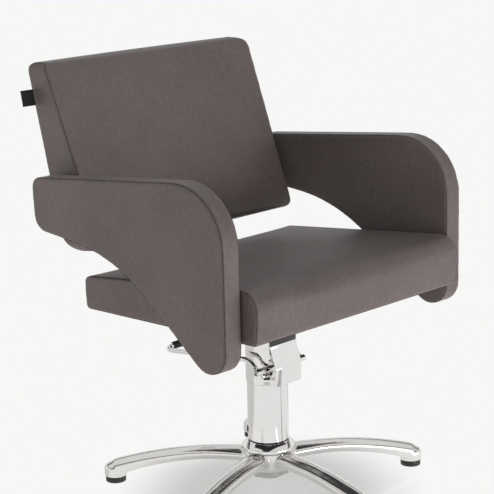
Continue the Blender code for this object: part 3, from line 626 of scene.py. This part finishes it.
def stuff(obj, pinned, limit, pressure):
    """Blow the cloth up between its pinned seams, and keep each point's travel under a limit."""
    rest = coordinates(obj.data)
    normals = np.array([vert.normal[:] for vert in obj.data.vertices])
    held = obj.vertex_groups.new(name="seams")
    held.add([int(i) for i in pinned], 1.0, "REPLACE")
    cloth = obj.modifiers.new("stuffing", "CLOTH")
    settings = cloth.settings
    settings.quality = 4
    settings.mass = 0.15
    settings.tension_stiffness = 30
    settings.compression_stiffness = 30
    settings.shear_stiffness = 10
    settings.bending_stiffness = 6.0
    settings.shrink_min = 0.008
    settings.use_pressure = True
    settings.uniform_pressure_force = pressure
    settings.vertex_group_mass = "seams"
    settings.effector_weights.gravity = 0.0
    cloth.collision_settings.use_collision = False
    cloth.point_cache.frame_start = 1
    cloth.point_cache.frame_end = SIM_FRAMES
    for number in range(1, SIM_FRAMES + 1):
        bpy.context.scene.frame_set(number)
    graph = bpy.context.evaluated_depsgraph_get()
    blown = coordinates(obj.evaluated_get(graph).data)
    obj.modifiers.clear()
    bpy.context.scene.frame_set(1)
    travel = blown - rest
    length = np.linalg.norm(travel, axis=1)
    most = np.array([limit(Vector(normal)) for normal in normals])
    kept = most * np.tanh(length / most) / np.maximum(length, 1e-9)
    obj.data.vertices.foreach_set("co", (rest + travel * kept[:, None]).ravel())
    obj.data.update()


def refine(obj):
    """Add one level of subdivision."""
    finer = obj.modifiers.new("finer", "SUBSURF")
    finer.levels = 1
    finer.render_levels = 1
    settled(obj)


def sink_seams(obj, seams, depth):
    """Press the seam lines in, and mark how near each vertex is to a seam."""
    places = coordinates(obj.data)
    normals = np.array([vert.normal[:] for vert in obj.data.vertices])
    tree = kdtree.KDTree(sum(len(seam) for seam in seams))
    index = 0
    for seam in seams:
        for vertex in seam:
            tree.insert(places[vertex], index)
            index += 1
    tree.balance()
    gaps = np.array([tree.find(place)[2] for place in places])
    obj.data.vertices.foreach_set(
        "co", (places - normals * (depth * np.exp(-(gaps / SEAM_GROOVE) ** 2))[:, None]).ravel())
    mark = obj.data.attributes.new("seam", "FLOAT", "POINT")
    mark.data.foreach_set("value", np.exp(-gaps / SEAM_REACH).astype(np.float32))
    obj.data.update()


def seam_thread(name, obj, seam, closed, body, radius=0.00055):
    """Lay a dark thread in a seam line of a piece."""
    places = coordinates(obj.data)
    normals = np.array([vert.normal[:] for vert in obj.data.vertices])
    path = [Vector(places[i] + normals[i] * 0.0001) for i in seam]
    thread = swept(name, path, radius, closed, sides=2)
    return piece(name, thread, "seam_thread", body)


def seam_points(seam, obj, closed):
    """Return a seam's vertices in the refined mesh, with the new ones between them."""
    ends = {}
    for edge in obj.data.edges:
        a, b = edge.vertices
        ends.setdefault(a, set()).add(b)
        ends.setdefault(b, set()).add(a)
    path = []
    pairs = zip(seam, list(seam[1:]) + [seam[0]]) if closed else zip(seam, seam[1:])
    for a, b in pairs:
        between = ends[a] & ends[b]
        path += [a] + sorted(between)[:1]
    return path if closed else path + [seam[-1]]


def upholster(name, outline, edge, rows, limit, replaces, cross_seams=(), pressure=4.0, depth=0.0012):
    """Build a padded piece with a seam round each side panel, and any seams across its band."""
    obj, count = stuffed_mesh(name, outline, edge, rows)
    loops = {"low": list(range(count)), "high": list(range(rows * count, (rows + 1) * count))}
    lines = {}
    for label, spot in cross_seams:
        nearest = int(np.argmin(np.linalg.norm(outline - np.array(spot), axis=1)))
        lines[label] = [k * count + nearest for k in range(rows + 1)]
    pinned = sorted({i for seam in (*loops.values(), *lines.values()) for i in seam})
    stuff(obj, pinned, limit, pressure)
    refine(obj)
    seams = {label: (seam_points(seam, obj, True), True) for label, seam in loops.items()}
    seams |= {label: (seam_points(seam, obj, False), False) for label, seam in lines.items()}
    sink_seams(obj, [seam for seam, _ in seams.values()], depth)
    piece(name, obj, "taupe_vinyl", "seat_unit", replaces, smooth=180.0)
    for label, (seam, closed) in seams.items():
        seam_thread(f"{name}_seam_{label}", obj, seam, closed, "seat_unit")
    return obj


def build_arms():
    """Upholster both arms: a slab with a band between two flat side panels."""
    outline = evenly(inset(rounded(ARM_CORNERS, 14), OUTLINE_INSET), WEAVE_STEP)
    low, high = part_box("arm_shell_left")
    inner, outer = low.x + 0.0018, high.x - 0.0022
    for side, sign in SIDES.items():
        def edge(y, z, t, sign=sign):
            across = inner + (outer - inner) * (t if sign > 0 else 1.0 - t)
            return sign * across

        def limit(normal, sign=sign):
            return ARM_INNER_SWELL if normal.x * sign < -0.5 else ARM_SWELL

        upholster(f"arm_{side}", outline, edge, 7, limit,
                  (f"arm_shell_{side}", f"arm_inner_pad_{side}"))


def build_seat():
    """Upholster the seat: a crowned wedge with a soft front edge and a flat underside."""
    outline = evenly(inset(rounded(SEAT_CORNERS, 8), OUTLINE_INSET), WEAVE_STEP)
    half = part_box("seat_cushion")[1].x - 0.0016

    def edge(y, z, t):
        return -half + 2 * half * t

    def limit(normal):
        if normal.z > 0.6:
            return SEAT_CROWN
        if normal.z < -0.6:
            return SEAT_UNDER_SWELL
        return SEAT_SIDE_SWELL if abs(normal.x) > 0.6 else SEAT_FRONT_SWELL

    upholster("seat", outline, edge, 80, limit, ("seat_cushion",))


def back_half(z, top_corner):
    """Return the half width of the back at a height, with its front-view corners rounded."""
    wide = BACK_HALF + BACK_TAPER * (z - BACK_WIDTH_Z)
    for radius, gap in ((top_corner, BACK_CORNERS[0][1] - z), (BACK_FOOT_CORNER, z - BACK_CORNERS[2][1])):
        if gap < radius:
            wide -= radius - math.sqrt(max(radius ** 2 - (radius - gap) ** 2, 0.0))
    return wide


def build_back():
    """Upholster the back: a wedge with rounded corners, and seams along its rear panel."""
    outline = evenly(rounded(BACK_CORNERS, 6), WEAVE_STEP)

    def edge(y, z, t):
        right, left = (back_half(z, corner) for corner in BACK_TOP_CORNERS)
        return t * left - (1 - t) * right

    def limit(normal):
        return BACK_SIDE_SWELL if abs(normal.x) > 0.6 else BACK_SWELL

    upholster("back", outline, edge, 76, limit, ("back_cushion", "back_rear_panel"),
              cross_seams=(("top", (0.3330, 0.8025)), ("foot", (0.2640, 0.4720))))


# ---------------------------------------------------------------- base and column

def fused(name, solids, voxel, rounds):
    """Melt overlapping solids into one smooth casting."""
    mesh = bmesh.new()
    for solid in solids:
        data = bpy.data.meshes.new(name)
        solid.to_mesh(data)
        solid.free()
        mesh.from_mesh(data)
    made = scratch(name, mesh)
    remesh = made.modifiers.new("fused", "REMESH")
    remesh.mode = "VOXEL"
    remesh.voxel_size = voxel
    smooth = made.modifiers.new("smoothed", "SMOOTH")
    smooth.factor = 0.5
    smooth.iterations = rounds
    return settled(made)


def leg_section(radius):
    """Return a leg's cross-section (y, z): flat belly, upright flanks and a domed crest."""
    half = LEG_HALF + LEG_FLARE * max(0.0, 1.0 - (radius - LEG_INNER) / LEG_FLARE_LENGTH)
    past = max(radius - FOOT_RADIUS, 0.0)
    half = max(half * math.sqrt(max(0.0, 1.0 - (past / FOOT_R) ** 2)), 0.003)
    crest = LEG_CREST - LEG_CREST_FALL * (radius - 0.05) ** 2 - LEG_TIP_FALL * past
    belly = max(LEG_BELLY - LEG_BELLY_FALL * max(radius - 0.07, 0.0) ** 2, LEG_FOOT_Z)
    shoulder = belly + 0.42 * (crest - belly)
    dome = [(half * math.cos(a), shoulder + (crest - shoulder) * math.sin(a))
            for a in [math.pi * step / 16 for step in range(17)]]
    return [(-half * 0.86, belly), (half * 0.86, belly)] + dome


def leg_solid(angle):
    """Return a bmesh of one leg at an angle about the swivel axis."""
    stations = [LEG_INNER + LEG_STEP * step for step in range(44)] + list(LEG_TIP)
    solid = bmesh.new()
    rings = [[solid.verts.new((radius, y, z)) for y, z in leg_section(radius)] for radius in stations]
    for near, far in zip(rings, rings[1:]):
        for a, b, c, d in zip(near, near[1:] + near[:1], far[1:] + far[:1], far):
            solid.faces.new((a, b, c, d))
    solid.faces.new(rings[0])
    solid.faces.new(rings[-1])
    bmesh.ops.recalc_face_normals(solid, faces=solid.faces)
    bmesh.ops.rotate(solid, verts=solid.verts, cent=(0, 0, 0), matrix=Matrix.Rotation(angle, 3, "Z"))
    return solid


def build_star():
    """Cast the star: five legs melted into the hub, bored for the bush, on five glides."""
    angles = [LEG_START + math.tau * number / 5 for number in range(5)]
    hub = turned([(0.0, 0.0503), (0.0470, 0.0503), (0.0483, 0.0516), (0.0483, 0.0845),
                  (0.0470, 0.0858), (0.0, 0.0858)])
    feet = [turned([(0.0, 0.0106), (0.0205, 0.0106), (0.0213, 0.0114), (0.0213, 0.0262),
                    (0.0185, 0.0322), (0.0100, 0.0372), (0.0, 0.0372)], 48,
                   centre=(FOOT_RADIUS * math.cos(angle), FOOT_RADIUS * math.sin(angle), 0.0))
            for angle in angles]
    star = fused("base_star_cast", [leg_solid(angle) for angle in angles] + feet + [hub], 0.0016, 14)
    bore = scratch("bore", turned([(0.0, 0.02), (0.0303, 0.02), (0.0303, 0.12), (0.0, 0.12)]))
    piece("star", combined(star, bore, "DIFFERENCE"), "polished_aluminium", "base",
          ("base_star",), smooth=60.0)
    glide = [(0.0, 0.0), (0.0182, 0.0), (0.0190, 0.0004), (0.0194, 0.0014), (0.0192, 0.0060),
             (0.0192, 0.0092), (0.0186, 0.0100), (0.0120, 0.0102), (0.0, 0.0102)]
    for number, angle in enumerate(angles, start=1):
        centre = (FOOT_RADIUS * math.cos(angle), FOOT_RADIUS * math.sin(angle), 0.0)
        piece(f"glide_moulding_{number}", turned(glide, 64, centre=centre), "black_plastic", "base",
              (f"glide_{number}",))


def build_collar():
    """Turn the chrome collar on the hub: a straight skirt under a sloping shoulder."""
    profile = [(0.0364, 0.0866), (0.0486, 0.0866), (0.0492, 0.0872), (0.0492, 0.0898), (0.0490, 0.0912),
               (0.0484, 0.0924), (0.0402, 0.1016), (0.0394, 0.1022), (0.0384, 0.1026), (0.0364, 0.1026)]
    piece("collar", turned(profile, 128), "chrome", "base", ("hub_collar",), smooth=35.0)


def build_tube():
    """Turn the column's outer tube, with its side plug."""
    profile = [(0.0346, 0.1053), (0.0354, 0.1046), (0.0372, 0.1046), (TUBE_R, 0.1053),
               (TUBE_R, 0.2162), (0.0373, 0.2168), (0.0354, 0.2168), (0.0346, 0.2162)]
    piece("tube", turned(profile, 128), "chrome", "seat_unit", ("outer_tube",), smooth=35.0)
    plug = turned([(0.0, -0.0010), (0.0058, -0.0010), (0.0066, 0.0001),
                   (0.0064, 0.0008), (0.0052, 0.0015), (0.0, 0.0018)], 48)
    aim = (Matrix.Rotation(PLUG_ANGLE, 4, "Z") @ Matrix.Translation((TUBE_R, 0.0, PLUG_Z))
           @ Matrix.Rotation(math.pi / 2, 4, "Y"))
    bmesh.ops.transform(plug, matrix=aim, verts=plug.verts)
    piece("plug", plug, "black_plastic", "seat_unit", ("column_plug",))


def slot_block(half, low, high, corner, start, end):
    """Return a bmesh of a rounded block that points out of the head where its slot is."""
    outline = rounded([(low, half, corner), (high, half, corner), (high, -half, corner),
                       (low, -half, corner)], 5)
    block = prism([(point.y, point.x) for point in outline], start, end)
    bmesh.ops.rotate(block, verts=block.verts, cent=(0, 0, 0), matrix=Matrix.Rotation(SLOT_ANGLE, 3, "Z"))
    return block


def build_head():
    """Machine the pump head (body, boss for the shaft, slot and flange) and its plunger."""
    profile = [(0.0256, 0.1923), (0.0338, 0.1923), (0.0342, 0.1928), (0.0342, 0.2171),
               (0.0388, 0.2171), (0.0396, 0.2176), (0.0397, 0.3440), (0.0412, 0.3458),
               (0.0535, 0.3461), (0.0548, 0.3474), (0.0548, 0.3508), (0.0538, 0.3518),
               (0.0, 0.3518), (0.0, 0.2932), (0.0256, 0.2932)]
    head = scratch("head_body", turned(profile, 128))
    boss = softened(scratch("boss", prism(rounded([
        (-0.0463, 0.2345, 0.006), (-0.0300, 0.2345, 0.0), (-0.0300, 0.2655, 0.0),
        (-0.0463, 0.2655, 0.010)], 8), -0.0278, 0.0278)), 0.0012)
    combined(head, boss, "UNION")
    bore_r, reach = SHAFT_R + SHAFT_CLEAR, 0.1
    bore = [(0.0, -reach), (bore_r, -reach), (bore_r, reach), (0.0, reach)]
    combined(head, scratch("shaft_bore", turned(bore, 64, "X", (0.0, *SHAFT))), "DIFFERENCE")
    slot = slot_block(0.0066, 0.2180, 0.2366, 0.002, 0.0307, 0.0600)
    combined(head, scratch("slot", slot), "DIFFERENCE")
    piece("head", head, "chrome", "seat_unit", ("pump_head",), smooth=32.0)
    plunger = slot_block(0.0061, 0.2267, 0.2362, 0.0015, 0.0312, 0.0382)
    plunger = softened(scratch("plunger", plunger), 0.0006)
    piece("plunger", plunger, "black_plastic", "plunger", ("pump_plunger",))


def build_cover():
    """Press the bent cover plate in front of the pump head, and the black plate above it, which is painted
    shade for the cover's top fold under the seat.
    """
    line = [(-0.0428, 0.2950, 0.0), (-0.0435, 0.2900, 0.004), (-0.0555, 0.2530, 0.006),
            (-0.0540, 0.2195, 0.0)]
    outline = rounded(line + [(y + 0.003, z, max(radius - 0.003, 0.0)) for y, z, radius in line[::-1]], 8)
    plate = softened(scratch("cover", prism(outline, -0.0340, 0.0340)), 0.0009)
    piece("cover", plate, "chrome", "seat_unit", ("front_cover",))
    # painted shade: the cover's top fold lies dark under the seat, so it is made as a separate plate in
    # black
    shade_bracket = softened(scratch("shade_bracket", prism(rounded([
        (-0.0428, 0.2954, 0.0), (-0.0428, 0.3455, 0.002), (-0.0401, 0.3455, 0.0),
        (-0.0401, 0.2954, 0.0)], 4), -0.0335, 0.0335)), 0.0006)
    piece("cover_shade_bracket", shade_bracket, "black_paint", "seat_unit")


def lever_path():
    """Return the rod's path: up from the shaft, back, and round to its mirror image."""
    rear = Vector((-LEVER_HALF, LEVER_END_Y - LEVER_CORNER, LEVER_END_Z))
    start = Vector((-LEVER_HALF, SHAFT[0] + 0.0079, SHAFT[1] + 0.0079))
    knee = Vector((-LEVER_HALF, SHAFT[0] + 0.0250, SHAFT[1] + 0.0195))
    bend = [knee.lerp(start, 0.45 * (1 - t) ** 2) + (rear - knee) * 0.07 * t ** 2
            for t in [step / 8 for step in range(9)]]
    centre = rear + Vector((LEVER_CORNER, 0, 0))
    corner = [centre + LEVER_CORNER * Vector((-math.cos(a), math.sin(a), 0))
              for a in [math.pi / 2 * step / 14 for step in range(15)]]
    right = [start] + bend + [knee.lerp(rear, 0.5)] + corner
    return right + [Vector((-point.x, point.y, point.z)) for point in reversed(right)]


def build_pedal():
    """Bend the pedal rod, weld it to its hollow shaft, and fit the sleeve and the link."""
    half, hole, deep = 0.0640, 0.0040, 0.0110
    shaft = [(0.0, -half + deep), (hole, -half + deep), (hole, -half + 0.0006), (hole + 0.0005, -half),
             (SHAFT_R - 0.0006, -half), (SHAFT_R, -half + 0.0006)]
    shaft += [(radius, -height) for radius, height in shaft[::-1]]
    piece("shaft", turned(shaft, 64, "X", (0.0, *SHAFT)), "chrome", "pedal", ("pivot_shaft",), smooth=35.0)
    piece("lever", swept("lever", lever_path(), LEVER_R, sides=6), "chrome", "pedal", ("pedal_lever",))
    turns = [math.tau * step / 24 for step in range(24)]
    for side, sign in SIDES.items():
        bead = [Vector((sign * (LEVER_HALF + 0.0044 * math.cos(a)),
                        SHAFT[0] + 0.0062 - 0.0030 * math.sin(a),
                        SHAFT[1] + 0.0044 + 0.0030 * math.sin(a))) for a in turns]
        piece(f"weld_{side}", swept(f"weld_{side}", bead, WELD_R, True, 3), "chrome", "pedal")
    reach = LEVER_HALF - LEVER_CORNER - 0.002
    sleeve = [(0.0050, -reach + 0.0004), (0.0056, -reach), (0.0066, -reach), (0.0072, -reach + 0.0008)]
    sleeve += [(radius, -height) for radius, height in sleeve[::-1]]
    piece("sleeve", turned(sleeve, 64, "X", (0.0, LEVER_END_Y, LEVER_END_Z)), "black_rubber", "pedal",
          ("pedal_sleeve",))
    points = [Vector((x, SHAFT[0] + y, SHAFT[1] + z)) for x, y, z in
              ((-0.0300, -0.0010, -0.0108), (-0.0390, 0.0005, -0.0108), (-0.0465, 0.0015, -0.0110))]
    piece("link", swept("link", smooth_path(points), LINK_R, sides=6), "chrome", "pedal", ("pump_link",))


def build_plate_bolts():
    """Make the hexagon-headed bolts that hold the seat plate."""
    for side in SIDES:
        for end in ("front", "rear"):
            node = f"plate_bolt_{side}_{end}"
            low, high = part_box(node)
            centre = ((low.x + high.x) / 2, (low.y + high.y) / 2, 0.0)
            shank = turned([(0.0, low.z + 0.0040), (BOLT_R, low.z + 0.0040), (BOLT_R, high.z - 0.0006),
                            (0.0033, high.z), (0.0, high.z)], 32, centre=centre)
            head = turned([(0.0, low.z), (0.0056, low.z), (BOLT_HEAD_R, low.z + 0.0007),
                           (BOLT_HEAD_R, low.z + BOLT_HEAD_HEIGHT), (0.0, low.z + BOLT_HEAD_HEIGHT)],
                          6, centre=centre)
            bolt = combined(scratch(node, shank), scratch("bolt_head", head), "UNION")
            piece(f"hex_{node}", bolt, "steel", "seat_unit", (node,), smooth=25.0)


def build_tag():
    """Fold a small woven tag that stands out of the back's side seam."""
    low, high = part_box("side_tag")
    middle = (low + high) / 2
    lean = (high.y - low.y) / (high.z - low.z)
    solid = bmesh.new()
    rings = []
    columns = [(step / TAG_COLUMNS, 1) for step in range(TAG_COLUMNS + 1)]
    columns += [(step / TAG_COLUMNS, -1) for step in range(TAG_COLUMNS, -1, -1)]
    for row in range(TAG_ROWS + 1):
        t = row / TAG_ROWS
        x = high.x - (high.x - low.x) * t
        curl = 0.0011 * math.sin(2.6 * t) + 0.0008 * t * t
        thick = TAG_HALF_THICK * math.sqrt(max(1.0 - max((t - 0.96) / 0.04, 0.0) ** 2, 0.04))
        ring = []
        for z_part, side in columns:
            z = low.z + 0.0004 + (high.z - low.z - 0.0008) * z_part
            y = middle.y + lean * 0.9 * (z - middle.z) + curl * (1 - z_part * 0.5) + side * thick
            ring.append(solid.verts.new((x, y, z)))
        rings.append(ring)
    for near, far in zip(rings, rings[1:]):
        for a, b, c, d in zip(near, near[1:] + near[:1], far[1:] + far[:1], far):
            solid.faces.new((a, b, c, d))
    solid.faces.new(rings[0])
    solid.faces.new(rings[-1])
    bmesh.ops.recalc_face_normals(solid, faces=solid.faces)
    tag = piece("tag", solid, "black_cloth", "seat_unit", ("side_tag",), smooth=60.0)


def carry_over():
    """Give every CAD node that stays the material of its slot."""
    slots = {part["node"]: part["material_slot"] for part in frame["record"]["subparts"]}
    for name, obj in frame["nodes"].items():
        obj.data.materials.clear()
        obj.data.materials.append(MATERIALS[slots[name]])


# ---------------------------------------------------------------- studio

def card(name, centre, size, target, glow, roll=0.0):
    """Hang a studio card, lit or black, that faces a point and shows only in reflections."""
    solid = bmesh.new()
    bmesh.ops.create_grid(solid, x_segments=1, y_segments=1, size=0.5)
    bmesh.ops.scale(solid, vec=(*size, 1.0), verts=solid.verts)
    bmesh.ops.rotate(solid, verts=solid.verts, cent=(0, 0, 0),
                     matrix=Matrix.Rotation(math.radians(roll), 3, "Z"))
    turn = (Vector(target) - Vector(centre)).to_track_quat("Z", "Y").to_matrix()
    bmesh.ops.rotate(solid, verts=solid.verts, cent=(0, 0, 0), matrix=turn)
    bmesh.ops.translate(solid, verts=solid.verts, vec=centre)
    made = scratch(name, solid)
    material = bpy.data.materials.new(name)
    material.use_nodes = True
    tree = material.node_tree
    light = shade(tree, "Emission", Color=(1.0, 0.99, 0.98, 1.0), Strength=glow)
    tree.links.new(light.outputs[0], tree.nodes["Material Output"].inputs["Surface"])
    made.data.materials.append(material)
    made.visible_camera = False
    made.visible_diffuse = False
    made.visible_shadow = False


def build_floor():
    """Lay a wide pale floor."""
    solid = bmesh.new()
    bmesh.ops.create_circle(solid, cap_ends=True, segments=96, radius=40.0)
    made = scratch("studio_floor", solid)
    made.data.materials.append(floor_material())


def area_light(name, place, size, power, target=(0.0, 0.0, 0.45), colour=(1.0, 0.985, 0.97)):
    """Hang a soft box that points at the chair."""
    data = bpy.data.lights.new(name, "AREA")
    data.shape = "RECTANGLE"
    data.size, data.size_y = size
    data.energy = power
    data.color = colour
    made = bpy.data.objects.new(name, data)
    made.location = place
    made.rotation_mode = "QUATERNION"
    made.rotation_quaternion = (Vector(target) - Vector(place)).to_track_quat("-Z", "Y")
    bpy.context.scene.collection.objects.link(made)


def build_world():
    """Light the room: bright pale walls and a dim ceiling."""
    world = bpy.data.worlds.new("studio")
    bpy.context.scene.world = world
    world.use_nodes = True
    tree = world.node_tree
    direction = shade(tree, "TexCoord").outputs["Generated"]
    height = shade(tree, "SeparateXYZ", Vector=direction).outputs["Z"]
    walls = ranged(tree, height, 0.93, 0.08, 0.24, 0.48, smooth=True)
    background = tree.nodes["Background"]
    tree.links.new(walls, background.inputs["Strength"])
    background.inputs["Color"].default_value = (1.0, 1.0, 0.992, 1.0)


def build_camera():
    """Place the camera."""
    data = bpy.data.cameras.new("camera")
    data.lens = CAMERA_LENS
    data.sensor_width = 36.0
    data.shift_x, data.shift_y = CAMERA_SHIFT
    data.clip_end = 200.0
    made = bpy.data.objects.new("camera", data)
    bpy.context.scene.collection.objects.link(made)
    look = Vector((-math.sin(CAMERA_AZIMUTH) * math.cos(CAMERA_ELEVATION),
                   math.cos(CAMERA_AZIMUTH) * math.cos(CAMERA_ELEVATION), -math.sin(CAMERA_ELEVATION)))
    turn = look.to_track_quat("-Z", "Y").to_matrix() @ Matrix.Rotation(CAMERA_ROLL, 3, "Z")
    made.location = CAMERA_PLACE
    made.rotation_euler = turn.to_euler()
    bpy.context.scene.camera = made


def build_studio():
    """Build the floor, world, lights, reflection cards and camera."""
    bpy.context.scene.view_settings.view_transform = "Standard"
    build_floor()
    build_world()
    area_light("overhead", (-0.3, -0.4, 2.4), (1.3, 0.9), 7.0)
    area_light("front", (0.45, -1.9, 0.12), (1.5, 0.30), 13.0)
    card("ceiling", (0.0, 0.0, 3.0), (9.0, 9.0), (0.0, 0.0, 0.0), 0.80)
    card("floor_grey", (0.57, 2.13, 0.002), (4.0, 4.0), (0.57, 2.13, 1.0), 0.68, 75.0)
    card("floor_streak", (0.40, -0.62, 0.006), (0.9, 0.04), (0.40, -0.62, 1.0), 0.45, -57.0)
    build_camera()


carry_over()
build_arms()
build_seat()
build_back()
build_star()
build_collar()
build_tube()
build_head()
build_cover()
build_pedal()
build_plate_bolts()
build_tag()
build_studio()
